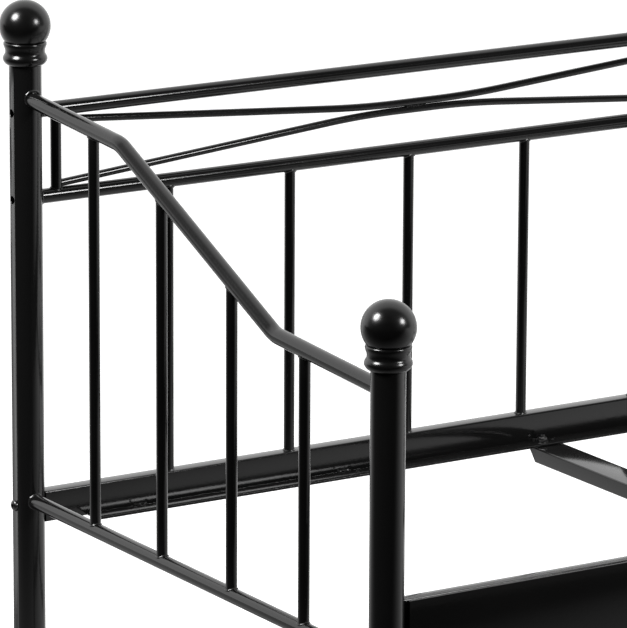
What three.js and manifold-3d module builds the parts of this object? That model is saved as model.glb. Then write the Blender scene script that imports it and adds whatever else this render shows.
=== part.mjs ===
// Metal daybed with a roll-out trundle. Millimetres, +Z up, floor at z = 0.
// +X runs along the bed, +Y towards the back panel, the trundle rolls out towards -Y.
import * as THREE from "three";
import { mergeVertices } from "three/addons/utils/BufferGeometryUtils.js";
import Module from "manifold-3d";

const wasm = await Module();
wasm.setup();

// ---- driving sizes -------------------------------------------------------
const BED_LENGTH = 2084; // left to right post axis
const BED_WIDTH = 780; // front to back post axis
const RAIL_LEVEL = 400; // axis of the end bottom rails above the floor
const GAP = 0.3; // paint gap left between two touching pieces

// posts and their fittings
const POST_D = 38;
const POST_WALL = 1.5;
const BACK_POST_TOP = RAIL_LEVEL + 522.5;
const FRONT_POST_TOP = RAIL_LEVEL + 329.2;
const GLIDE_HEIGHT = 8;
const GLIDE_PLUG = 18;
const ACCESS_HOLE_D = 10;
const FINIAL_BALL_D = 60;
const FINIAL_BALL_Z = 46; // ball centre above the post top
const FINIAL_SPIGOT = 25;

// round tubes and rods
const RAIL_D = 17.6;
const ARM_D = 18.5;
const RAIL_WALL = 1.2;
const SPINDLE_D = 13;
const WIRE_D = 9;
const TOP_RAIL_Z = RAIL_LEVEL + 466.4;
const MID_RAIL_Z = RAIL_LEVEL + 363.4;

// end panels: the sloping arm tube and the spindles under it
const ARM_BACK_Z = RAIL_LEVEL + 484;
const ARM_BACK_RUN = 220; // back post axis to the upper bend
const ARM_BACK_BEND_Z = RAIL_LEVEL + 468.5;
const ARM_FRONT_RUN = 226; // front post axis to the lower bend
const ARM_FRONT_BEND_Z = RAIL_LEVEL + 318.3;
const ARM_FRONT_Z = RAIL_LEVEL + 305;
const ARM_BEND_R = 50;
const END_SPINDLES = 4;
const END_SPINDLE_FRONT = 166; // front post axis to the first spindle
const END_SPINDLE_BACK = 158.5; // back post axis to the last spindle

// back panel
const BACK_SPINDLES = 11;
const BACK_SPINDLE_INSET = 192; // post axis to the first spindle
const UPRIGHT_INSET = 40;
const PINCH_FLAT = 56; // length over which two wires run side by side
const PINCH_CURVE = 98; // length of each bend into that flat
const PINCH_Z = 0.52; // pinch height as a share of the space between the rails
const WIRE_WELD = 34;

// long rails, their ledges and the cross tubes
const RAIL_DEPTH = 20;
const SHEET = 1.5;
const BACK_RAIL_TOP = RAIL_LEVEL + 8;
const BACK_RAIL_HEIGHT = 37.6;
const FRONT_RAIL_TOP = RAIL_LEVEL + 74.4;
const FRONT_RAIL_HEIGHT = 113;
const LEDGE_WIDTH = 25;
const LEDGE_THICK = 3;
const LEDGE_INSET = 74; // post axis to the ledge's end
const LEDGE_BOTTOM = BACK_RAIL_TOP - BACK_RAIL_HEIGHT;
const CROSS_WIDTH = 43;
const CROSS_HEIGHT = 19;
const CROSS_OFFSET = 318; // bed centre to each cross tube
const CROSS_END_GAP = 7; // cross tube's end to the rail's inner face

// trundle
const TRUNDLE_SIDE_CLEARANCE = 18; // trundle end to post
const TRUNDLE_FRONT_SETBACK = 9; // behind the front faces of the posts
const TRUNDLE_BACK_SETBACK = 29; // in front of the back faces of the posts
const TRUNDLE_RAIL_HEIGHT = 40;
const TRUNDLE_LEDGE_RISE = 12;
const WHEEL_D = 50;
const WHEEL_WIDTH = 20;
const AXLE_D = 8;
const AXLE_CLEARANCE = 0.06;
const HUB_WALL = 4;
const BRACKET_SIDE_GAP = 1.5;
const BRACKET_THICK = 2.5;
const BRACKET_LENGTH = 44;
const BRACKET_HEADROOM = 5;
const CASTER_INSET = 70;

// ---- derived -------------------------------------------------------------
const HALF_L = BED_LENGTH / 2;
const HALF_W = BED_WIDTH / 2;
const POST_R = POST_D / 2;
const POST_BORE_R = POST_R - POST_WALL;
const RAIL_R = RAIL_D / 2;
const ARM_R = ARM_D / 2;
const WHEEL_R = WHEEL_D / 2;
const SPINDLE_PITCH = (BED_LENGTH - 2 * BACK_SPINDLE_INSET) / (BACK_SPINDLES - 1);
const TRUNDLE_LENGTH = BED_LENGTH - POST_D - 2 * TRUNDLE_SIDE_CLEARANCE;
const TRUNDLE_FRONT = -(HALF_W + POST_R) + TRUNDLE_FRONT_SETBACK;
const TRUNDLE_BACK = HALF_W + POST_R - TRUNDLE_BACK_SETBACK;
const END_SPINDLE_PITCH = (BED_WIDTH - END_SPINDLE_FRONT - END_SPINDLE_BACK) / (END_SPINDLES - 1);
const ARM_BEND_FRONT = [ARM_FRONT_RUN, ARM_FRONT_BEND_Z];
const ARM_BEND_BACK = [BED_WIDTH - ARM_BACK_RUN, ARM_BACK_BEND_Z];
const TRUNDLE_BOTTOM = WHEEL_D + BRACKET_HEADROOM + BRACKET_THICK + GAP;
const SIDES = { left: -1, right: 1 };

// sides of each round piece
const POST_FACETS = 24;
const RAIL_FACETS = 16;
const SPINDLE_FACETS = 12;
const WIRE_FACETS = 8;
const TURNED_FACETS = 20;

// ---- finishes ------------------------------------------------------------
const steelFinish = () => new THREE.MeshStandardMaterial({ color: 0x1b1b1c, metalness: 0.2, roughness: 0.5 });
const plasticFinish = () => new THREE.MeshStandardMaterial({ color: 0x111111, metalness: 0, roughness: 0.35 });
const zincFinish = () => new THREE.MeshStandardMaterial({ color: 0x9a9c9f, metalness: 0.8, roughness: 0.4 });
const tyreFinish = () => new THREE.MeshStandardMaterial({ color: 0x2a2a2b, metalness: 0, roughness: 0.7 });

// ---- helpers -------------------------------------------------------------
function solid(geometry) {
  const bare = geometry.clone();
  bare.deleteAttribute("normal");
  if (bare.attributes.uv) bare.deleteAttribute("uv");
  const merged = mergeVertices(bare, 1e-4);
  return new wasm.Manifold(new wasm.Mesh({
    numProp: 3,
    vertProperties: new Float32Array(merged.attributes.position.array),
    triVerts: new Uint32Array(merged.index.array),
  }));
}

function geometryOf(manifold) {
  const mesh = manifold.getMesh();
  const geometry = new THREE.BufferGeometry();
  geometry.setAttribute("position", new THREE.BufferAttribute(new Float32Array(mesh.vertProperties), 3));
  geometry.setIndex(new THREE.BufferAttribute(new Uint32Array(mesh.triVerts), 1));
  const flat = geometry.toNonIndexed();
  flat.computeVertexNormals();
  return flat;
}

function box(x0, x1, y0, y1, z0, z1) {
  const geometry = new THREE.BoxGeometry(x1 - x0, y1 - y0, z1 - z0);
  geometry.translate((x0 + x1) / 2, (y0 + y1) / 2, (z0 + z1) / 2);
  return solid(geometry);
}

function orient(geometry, axis, x, y, z) {
  if (axis === "z") geometry.rotateX(Math.PI / 2);
  if (axis === "x") geometry.rotateZ(-Math.PI / 2);
  geometry.translate(x, y, z);
  return geometry;
}

// A solid round bar of the given length, centred on (x, y, z).
function rod(axis, x, y, z, radius, length, segments = RAIL_FACETS) {
  return solid(orient(new THREE.CylinderGeometry(radius, radius, length, segments), axis, x, y, z));
}

// A round tube, open at both ends, centred on (x, y, z).
function pipe(axis, x, y, z, radius, wall, length, segments = RAIL_FACETS) {
  const inner = radius - wall;
  const half = length / 2;
  const profile = [[inner, -half], [radius, -half], [radius, half], [inner, half], [inner, -half]];
  const points = profile.map(([r, h]) => new THREE.Vector2(r, h));
  return solid(orient(new THREE.LatheGeometry(points, segments), axis, x, y, z));
}

// A box tube along X or Y, open at both ends.
function boxTube(axis, x0, x1, y0, y1, z0, z1) {
  const outer = box(x0, x1, y0, y1, z0, z1);
  const endX = axis === "x" ? -1 : SHEET;
  const endY = axis === "y" ? -1 : SHEET;
  return outer.subtract(box(x0 + endX, x1 - endX, y0 + endY, y1 - endY, z0 + SHEET, z1 - SHEET));
}

// A planar path given as stations, so that straight runs take one step each.
class StationPath extends THREE.Curve {
  constructor(stations) {
    super();
    this.stations = stations;
  }

  get steps() {
    return this.stations.length - 1;
  }

  getPoint(t) {
    const index = Math.min(Math.floor(t * this.steps + 1e-6), this.steps - 1);
    const share = t * this.steps - index;
    return this.stations[index].clone().lerp(this.stations[index + 1], share);
  }

  getPointAt(u) {
    return this.getPoint(u);
  }

  getTangentAt(u) {
    const i = Math.round(u * this.steps);
    const before = this.stations[Math.max(i - 1, 0)];
    const after = this.stations[Math.min(i + 1, this.steps)];
    const here = this.stations[i];
    const back = here.clone().sub(before).normalize();
    const ahead = after.clone().sub(here).normalize();
    return back.add(ahead).normalize();
  }
}

function sweep(stations, radius, wall, segments) {
  const path = new StationPath(stations);
  const shape = new THREE.Shape();
  shape.absarc(0, 0, radius, 0, 2 * Math.PI, false);
  if (wall > 0) {
    const hole = new THREE.Path();
    hole.absarc(0, 0, radius - wall, 0, 2 * Math.PI, true);
    shape.holes.push(hole);
  }
  const options = { steps: path.steps, extrudePath: path, bevelEnabled: false, curveSegments: segments / 2 };
  return solid(new THREE.ExtrudeGeometry(shape, options));
}

// Points of a polyline whose inner corners are rounded to one radius.
function rounded(corners, radius, pieces) {
  const stations = [corners[0].clone()];
  for (let i = 1; i < corners.length - 1; i += 1) {
    const here = corners[i];
    const back = corners[i - 1].clone().sub(here).normalize();
    const ahead = corners[i + 1].clone().sub(here).normalize();
    const turn = Math.PI - back.angleTo(ahead);
    const reach = radius * Math.tan(turn / 2);
    const start = here.clone().addScaledVector(back, reach);
    const end = here.clone().addScaledVector(ahead, reach);
    const inward = back.clone().add(ahead).normalize();
    const centre = here.clone().addScaledVector(inward, radius / Math.cos(turn / 2));
    for (let k = 0; k <= pieces; k += 1) {
      const angle = (k / pieces) * turn;
      const from = start.clone().sub(centre).multiplyScalar(Math.sin(turn - angle) / Math.sin(turn));
      const to = end.clone().sub(centre).multiplyScalar(Math.sin(angle) / Math.sin(turn));
      stations.push(centre.clone().add(from).add(to));
    }
  }
  stations.push(corners[corners.length - 1].clone());
  return stations;
}

const group = new THREE.Group();
group.name = "trundle_bed";

function addPart(name, body, finish) {
  const mesh = new THREE.Mesh(geometryOf(body), finish());
  mesh.name = name;
  group.add(mesh);
}

// The space a post takes up, with the paint gap round it.
function postSpace(x, y) {
  return rod("z", x, y, RAIL_LEVEL, POST_R + GAP, 4 * RAIL_LEVEL, POST_FACETS);
}

// ---- posts, finials, glides ----------------------------------------------
function post(sx, sy, top) {
  const x = sx * HALF_L;
  const y = sy * HALF_W;
  const bottom = GLIDE_HEIGHT + GAP;
  let body = pipe("z", x, y, (top + bottom) / 2, POST_R, POST_WALL, top - bottom, POST_FACETS);
  const levels = sy > 0 ? [TOP_RAIL_Z, MID_RAIL_Z] : [];
  for (const z of levels) {
    body = body.subtract(rod("x", x + sx * POST_R, y, z, ACCESS_HOLE_D / 2, POST_D, SPINDLE_FACETS));
  }
  return body;
}

function finial(sx, sy, top) {
  const ballR = FINIAL_BALL_D / 2;
  const profile = [
    [0, -FINIAL_SPIGOT], [POST_BORE_R - GAP, -FINIAL_SPIGOT], [POST_BORE_R - GAP, GAP],
    [POST_R + 1.2, GAP], [POST_R + 4, 1.8], [POST_R + 6.2, 4.8], [POST_R + 6.9, 7.6], [POST_R + 6.1, 10.8],
    [POST_R + 4.5, 13.6], [POST_R + 4.1, 16.2], [POST_R + 4.8, 20], [POST_R + 6, 23],
    [POST_R + 6.2, 25.2], [POST_R + 5.4, 27],
  ];
  const first = 128 * Math.PI / 180; // the ball starts this far from its top
  const arcs = 7;
  for (let k = 0; k <= arcs; k += 1) {
    const angle = first * (1 - k / arcs);
    profile.push([k === arcs ? 0 : ballR * Math.sin(angle), FINIAL_BALL_Z + ballR * Math.cos(angle)]);
  }
  const points = profile.map(([r, z]) => new THREE.Vector2(r, z));
  return solid(orient(new THREE.LatheGeometry(points, TURNED_FACETS), "z", sx * HALF_L, sy * HALF_W, top));
}

function footGlide(sx, sy) {
  const profile = [
    [0, 0], [POST_R - 1.5, 0], [POST_R + 0.5, 1.5], [POST_R + 0.5, GLIDE_HEIGHT],
    [POST_BORE_R - GAP, GLIDE_HEIGHT], [POST_BORE_R - GAP, GLIDE_HEIGHT + GLIDE_PLUG], [0, GLIDE_HEIGHT + GLIDE_PLUG],
  ];
  const points = profile.map(([r, z]) => new THREE.Vector2(r, z));
  return solid(orient(new THREE.LatheGeometry(points, TURNED_FACETS), "z", sx * HALF_L, sy * HALF_W, 0));
}

function addPosts() {
  for (const [side, sx] of Object.entries(SIDES)) {
    for (const [depth, sy, top] of [["front", -1, FRONT_POST_TOP], ["back", 1, BACK_POST_TOP]]) {
      addPart(`post_${depth}_${side}`, post(sx, sy, top), steelFinish);
      addPart(`finial_${depth}_${side}`, finial(sx, sy, top), plasticFinish);
      addPart(`foot_glide_${depth}_${side}`, footGlide(sx, sy), plasticFinish);
    }
  }
}

// ---- end panels ------------------------------------------------------------
function armStations(x) {
  const at = (y, z) => new THREE.Vector3(x, -HALF_W + y, z);
  const corners = [at(0, ARM_FRONT_Z), at(...ARM_BEND_FRONT), at(...ARM_BEND_BACK), at(BED_WIDTH, ARM_BACK_Z)];
  return rounded(corners, ARM_BEND_R, 4);
}

function armHeight(fromFront) {
  const corners = [[0, ARM_FRONT_Z], ARM_BEND_FRONT, ARM_BEND_BACK, [BED_WIDTH, ARM_BACK_Z]];
  const last = corners.findIndex(([y]) => y > fromFront);
  const [y0, z0] = corners[last - 1];
  const [y1, z1] = corners[last];
  return z0 + (z1 - z0) * (fromFront - y0) / (y1 - y0);
}

function betweenPosts(body, x) {
  return body.subtract(postSpace(x, -HALF_W)).subtract(postSpace(x, HALF_W));
}

function armTube(x) {
  return betweenPosts(sweep(armStations(x), ARM_R, RAIL_WALL, RAIL_FACETS), x);
}

function endBottomRail(x) {
  return betweenPosts(pipe("y", x, 0, RAIL_LEVEL, RAIL_R, RAIL_WALL, BED_WIDTH - POST_R, RAIL_FACETS), x);
}

function endSpindle(x, index) {
  const fromFront = END_SPINDLE_FRONT + index * END_SPINDLE_PITCH;
  const y = -HALF_W + fromFront;
  const top = armHeight(fromFront);
  const bar = rod("z", x, y, (RAIL_LEVEL + top) / 2, SPINDLE_D / 2, top - RAIL_LEVEL, SPINDLE_FACETS);
  const railSpace = rod("y", x, 0, RAIL_LEVEL, RAIL_R + GAP, BED_WIDTH, RAIL_FACETS);
  return bar.subtract(railSpace).subtract(sweep(armStations(x), ARM_R + GAP, 0, RAIL_FACETS));
}

function addEndPanels() {
  for (const [side, sx] of Object.entries(SIDES)) {
    const x = sx * HALF_L;
    addPart(`end_arm_tube_${side}`, armTube(x), steelFinish);
    addPart(`end_bottom_rail_${side}`, endBottomRail(x), steelFinish);
    for (let i = 0; i < END_SPINDLES; i += 1) {
      addPart(`end_spindle_${side}_${i + 1}`, endSpindle(x, i), steelFinish);
    }
  }
}

// ---- back panel --------------------------------------------------------------
function roundRail(z) {
  const body = pipe("x", 0, HALF_W, z, RAIL_R, RAIL_WALL, BED_LENGTH - POST_R, RAIL_FACETS);
  return body.subtract(postSpace(-HALF_L, HALF_W)).subtract(postSpace(HALF_L, HALF_W));
}

const railSpaceAt = (z) => rod("x", 0, HALF_W, z, RAIL_R + GAP, BED_LENGTH, RAIL_FACETS);

function backSpindle(index) {
  const x = -HALF_L + BACK_SPINDLE_INSET + index * SPINDLE_PITCH;
  const bottom = BACK_RAIL_TOP + GAP;
  const height = MID_RAIL_Z - bottom;
  const bar = rod("z", x, HALF_W, bottom + height / 2, SPINDLE_D / 2, height, SPINDLE_FACETS);
  return bar.subtract(railSpaceAt(MID_RAIL_Z));
}

function upright(x) {
  const height = TOP_RAIL_Z - MID_RAIL_Z;
  const bar = rod("z", x, HALF_W, MID_RAIL_Z + height / 2, SPINDLE_D / 2, height, SPINDLE_FACETS);
  return bar.subtract(railSpaceAt(MID_RAIL_Z)).subtract(railSpaceAt(TOP_RAIL_Z));
}

// Centreline of one wire: straight, a soft bend, side by side with its pair, and back again.
function wireStations(x0, x1, zEnd, zPinch) {
  const middle = (x0 + x1) / 2;
  const flat = middle - PINCH_FLAT / 2;
  const slope = (zPinch - zEnd) / (flat - PINCH_CURVE / 2 - x0);
  const half = [new THREE.Vector3(x0, HALF_W, zEnd)];
  const pieces = 6;
  for (let k = 0; k <= pieces; k += 1) {
    const left = PINCH_CURVE * (1 - k / pieces);
    half.push(new THREE.Vector3(flat - left, HALF_W, zPinch - slope * left * left / (2 * PINCH_CURVE)));
  }
  const mirror = half.map((p) => new THREE.Vector3(2 * middle - p.x, p.y, p.z)).reverse();
  return half.concat(mirror);
}

function wirePair(x0, x1) {
  const start = x0 + SPINDLE_D / 2 + GAP;
  const end = x1 - SPINDLE_D / 2 - GAP;
  const pinch = MID_RAIL_Z + PINCH_Z * (TOP_RAIL_Z - MID_RAIL_Z);
  const apart = WIRE_D / 2 + GAP / 2;
  const clear = RAIL_R + WIRE_D / 2 + GAP;
  const upper = sweep(wireStations(start, end, TOP_RAIL_Z - clear, pinch + apart), WIRE_D / 2, 0, WIRE_FACETS);
  const lower = sweep(wireStations(start, end, MID_RAIL_Z + clear, pinch - apart), WIRE_D / 2, 0, WIRE_FACETS);
  const weld = rod("x", (start + end) / 2, HALF_W, pinch, WIRE_D * 0.4, WIRE_WELD, WIRE_FACETS);
  return upper.add(lower).add(weld);
}

function backRail() {
  const inside = HALF_W - RAIL_DEPTH / 2;
  const reach = HALF_L - POST_R / 2;
  const tube = boxTube("x", -reach, reach, inside, inside + RAIL_DEPTH, LEDGE_BOTTOM, BACK_RAIL_TOP);
  const body = tube.add(ledge(-1, inside, LEDGE_BOTTOM, HALF_L - LEDGE_INSET));
  return body.subtract(postSpace(-HALF_L, HALF_W)).subtract(postSpace(HALF_L, HALF_W));
}

// A flat strip welded along a rail's inner face, for the mattress base to lie on.
function ledge(direction, face, bottom, reach) {
  const root = face - direction * SHEET / 2;
  const edge = face + direction * LEDGE_WIDTH;
  return box(-reach, reach, Math.min(root, edge), Math.max(root, edge), bottom, bottom + LEDGE_THICK);
}

function frontRail() {
  const inside = -HALF_W + RAIL_DEPTH / 2;
  const reach = HALF_L - POST_R / 2;
  const bottom = FRONT_RAIL_TOP - FRONT_RAIL_HEIGHT;
  const tube = boxTube("x", -reach, reach, inside - RAIL_DEPTH, inside, bottom, FRONT_RAIL_TOP);
  const body = tube.add(ledge(1, inside, LEDGE_BOTTOM, HALF_L - LEDGE_INSET));
  return body.subtract(postSpace(-HALF_L, -HALF_W)).subtract(postSpace(HALF_L, -HALF_W));
}

function addBackPanel() {
  addPart("back_top_rail", roundRail(TOP_RAIL_Z), steelFinish);
  addPart("back_mid_rail", roundRail(MID_RAIL_Z), steelFinish);
  addPart("back_rail", backRail(), steelFinish);
  for (let i = 0; i < BACK_SPINDLES; i += 1) {
    addPart(`back_spindle_${i + 1}`, backSpindle(i), steelFinish);
  }
  const uprightX = HALF_L - UPRIGHT_INSET;
  addPart("back_upright_left", upright(-uprightX), steelFinish);
  addPart("back_upright_centre", upright(0), steelFinish);
  addPart("back_upright_right", upright(uprightX), steelFinish);
  addPart("back_wire_pair_left", wirePair(-uprightX, 0), steelFinish);
  addPart("back_wire_pair_right", wirePair(0, uprightX), steelFinish);
}

// ---- cross tubes ---------------------------------------------------------------
// A flat tube under the ledges, its ends cut back at 45 degrees underneath.
function crossTube(x, y0, y1, top) {
  const bottom = top - CROSS_HEIGHT;
  let body = boxTube("y", x - CROSS_WIDTH / 2, x + CROSS_WIDTH / 2, y0, y1, bottom, top);
  for (const [y, direction] of [[y0, 1], [y1, -1]]) {
    const slant = CROSS_HEIGHT - 4;
    const shape = new THREE.Shape();
    shape.moveTo(y - direction, bottom - 1);
    shape.lineTo(y + direction * (slant + 1), bottom - 1);
    shape.lineTo(y - direction, bottom + slant + 1);
    shape.closePath();
    const wedge = new THREE.ExtrudeGeometry(shape, { depth: CROSS_WIDTH + 2, bevelEnabled: false });
    const toYZ = new THREE.Matrix4().set(0, 0, 1, x - CROSS_WIDTH / 2 - 1, 1, 0, 0, 0, 0, 1, 0, 0, 0, 0, 0, 1);
    wedge.applyMatrix4(toYZ);
    body = body.subtract(solid(wedge));
  }
  return body;
}

function addBase() {
  addPart("front_rail", frontRail(), steelFinish);
  const reach = HALF_W - RAIL_DEPTH / 2 - CROSS_END_GAP;
  for (const [side, sx] of Object.entries(SIDES)) {
    addPart(`cross_tube_${side}`, crossTube(sx * CROSS_OFFSET, -reach, reach, LEDGE_BOTTOM - GAP), steelFinish);
  }
}

// ---- trundle -----------------------------------------------------------------
function trundleLongRail(direction, outer) {
  const half = TRUNDLE_LENGTH / 2;
  const inner = outer + direction * RAIL_DEPTH;
  const [y0, y1] = [Math.min(outer, inner), Math.max(outer, inner)];
  const tube = boxTube("x", -half, half, y0, y1, TRUNDLE_BOTTOM, TRUNDLE_BOTTOM + TRUNDLE_RAIL_HEIGHT);
  const reach = half - RAIL_DEPTH - GAP;
  return tube.add(ledge(direction, inner, TRUNDLE_BOTTOM + TRUNDLE_LEDGE_RISE, reach));
}

function trundleEndRail(sx, y0, y1) {
  const outer = sx * TRUNDLE_LENGTH / 2;
  const inner = outer - sx * RAIL_DEPTH;
  const x0 = Math.min(outer, inner);
  const top = TRUNDLE_BOTTOM + TRUNDLE_RAIL_HEIGHT;
  return boxTube("y", x0, x0 + RAIL_DEPTH, y0 + GAP, y1 - GAP, TRUNDLE_BOTTOM, top);
}

function casterBracket(x, y) {
  const inner = WHEEL_WIDTH / 2 + BRACKET_SIDE_GAP;
  const outer = inner + BRACKET_THICK;
  const top = TRUNDLE_BOTTOM - GAP;
  const plateHalf = BRACKET_LENGTH / 2;
  let body = box(x - outer, x + outer, y - plateHalf, y + plateHalf, top - BRACKET_THICK, top);
  for (const sign of [-1, 1]) {
    const [x0, x1] = sign > 0 ? [x + inner, x + outer] : [x - outer, x - inner];
    const shape = new THREE.Shape();
    shape.moveTo(y - plateHalf, top - BRACKET_THICK / 2);
    shape.lineTo(y - 9, WHEEL_R - 4);
    shape.absarc(y, WHEEL_R, 9.8, Math.PI + 0.42, 2 * Math.PI - 0.42, false);
    shape.lineTo(y + plateHalf, top - BRACKET_THICK / 2);
    shape.closePath();
    const cheek = new THREE.ExtrudeGeometry(shape, { depth: x1 - x0, bevelEnabled: false, curveSegments: 6 });
    const toYZ = new THREE.Matrix4().set(0, 0, 1, x0, 1, 0, 0, 0, 0, 1, 0, 0, 0, 0, 0, 1);
    cheek.applyMatrix4(toYZ);
    body = body.add(solid(cheek));
  }
  return body.add(rod("x", x, y, WHEEL_R, AXLE_D / 2, 2 * outer + 3, TURNED_FACETS));
}

function casterWheel(x, y) {
  const bore = AXLE_D / 2 + AXLE_CLEARANCE;
  const half = WHEEL_WIDTH / 2;
  const hub = half + BRACKET_SIDE_GAP - 0.4;
  const hubR = AXLE_D / 2 + HUB_WALL;
  const profile = [
    [bore, -hub], [hubR, -hub], [hubR, -half + 3], [WHEEL_R - 7, -half + 3], [WHEEL_R - 5, -half],
    [WHEEL_R - 1.5, -half], [WHEEL_R, -half + 3], [WHEEL_R, half - 3], [WHEEL_R - 1.5, half],
    [WHEEL_R - 5, half], [WHEEL_R - 7, half - 3], [hubR, half - 3], [hubR, hub], [bore, hub], [bore, -hub],
  ];
  const points = profile.map(([r, h]) => new THREE.Vector2(r, h));
  return solid(orient(new THREE.LatheGeometry(points, TURNED_FACETS), "x", x, y, WHEEL_R));
}

function addTrundle() {
  const front = TRUNDLE_FRONT;
  const back = TRUNDLE_BACK;
  addPart("trundle_front_rail", trundleLongRail(1, front), steelFinish);
  addPart("trundle_back_rail", trundleLongRail(-1, back), steelFinish);
  const y0 = front + RAIL_DEPTH;
  const y1 = back - RAIL_DEPTH;
  const crossTop = TRUNDLE_BOTTOM + TRUNDLE_LEDGE_RISE - GAP;
  for (const [side, sx] of Object.entries(SIDES)) {
    addPart(`trundle_end_rail_${side}`, trundleEndRail(sx, y0, y1), steelFinish);
    const cross = crossTube(sx * CROSS_OFFSET, y0 + CROSS_END_GAP, y1 - CROSS_END_GAP, crossTop);
    addPart(`trundle_cross_tube_${side}`, cross, steelFinish);
    const x = sx * (TRUNDLE_LENGTH / 2 - CASTER_INSET);
    for (const [depth, y] of [["front", front + RAIL_DEPTH / 2], ["back", back - RAIL_DEPTH / 2]]) {
      addPart(`caster_bracket_${depth}_${side}`, casterBracket(x, y), zincFinish);
      addPart(`caster_wheel_${depth}_${side}`, casterWheel(x, y), tyreFinish);
    }
  }
}

addPosts();
addEndPanels();
addBackPanel();
addBase();
addTrundle();

export default group;
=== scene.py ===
"""A black powder-coated daybed with a low trundle frame, shown in a plain pale studio.

Each sub-assembly is a class: its fields are its sizes in metres, its methods build
its meshes and dress them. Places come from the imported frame.
"""

import logging
import math
import random
from dataclasses import dataclass, field
from enum import Enum
from typing import Iterable, Sequence

import bmesh
import bpy
from mathutils import Matrix, Vector


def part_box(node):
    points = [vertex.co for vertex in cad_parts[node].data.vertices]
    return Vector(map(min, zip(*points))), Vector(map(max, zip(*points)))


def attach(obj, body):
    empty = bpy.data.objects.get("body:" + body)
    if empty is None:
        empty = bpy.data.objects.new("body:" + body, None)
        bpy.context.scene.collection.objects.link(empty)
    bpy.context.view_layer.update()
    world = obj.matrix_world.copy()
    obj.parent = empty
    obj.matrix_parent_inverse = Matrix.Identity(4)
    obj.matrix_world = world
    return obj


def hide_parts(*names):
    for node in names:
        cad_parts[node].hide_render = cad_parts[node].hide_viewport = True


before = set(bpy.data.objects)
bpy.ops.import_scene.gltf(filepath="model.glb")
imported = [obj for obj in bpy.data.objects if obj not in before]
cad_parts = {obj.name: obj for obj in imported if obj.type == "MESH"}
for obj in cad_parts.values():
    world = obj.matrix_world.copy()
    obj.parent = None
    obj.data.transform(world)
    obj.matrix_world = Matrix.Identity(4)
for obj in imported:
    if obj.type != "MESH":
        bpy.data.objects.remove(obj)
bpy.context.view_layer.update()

log = logging.getLogger("daybed")

SIDES = ("left", "right")
DEPTHS = ("front", "back")
X_AXIS = Vector((1.0, 0.0, 0.0))
Y_AXIS = Vector((0.0, 1.0, 0.0))
Z_AXIS = Vector((0.0, 0.0, 1.0))
GAP = 0.0003  # paint gap between touching pieces
BITE = 0.002  # how far a tube runs into the one it is welded to
LEDGE_THICK = 0.003
LEDGE_WIDTH = 0.025
LEDGE_INSET = 0.074
SHEET = 0.0015  # wall of the rectangular tubes


class Body(str, Enum):
    """The rigid bodies that pieces ride on; wheels are named by corner."""

    DAYBED = "daybed"
    TRUNDLE = "trundle"


# ---------------------------------------------------------------------------
# places
# ---------------------------------------------------------------------------


@dataclass(frozen=True)
class Span:
    """The box of a frame node."""

    lo: Vector
    hi: Vector

    @property
    def mid(self) -> Vector:
        """Centre of the box."""
        return (self.lo + self.hi) / 2

    @property
    def size(self) -> Vector:
        """Edge lengths of the box."""
        return self.hi - self.lo


def span(node: str) -> Span:
    """Reads the box of a frame node.

    Args:
        node: Name of the node.

    Returns:
        Its lowest and highest corners.
    """
    lo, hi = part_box(node)
    return Span(Vector(lo), Vector(hi))


# ---------------------------------------------------------------------------
# shader recipes
# ---------------------------------------------------------------------------


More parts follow.
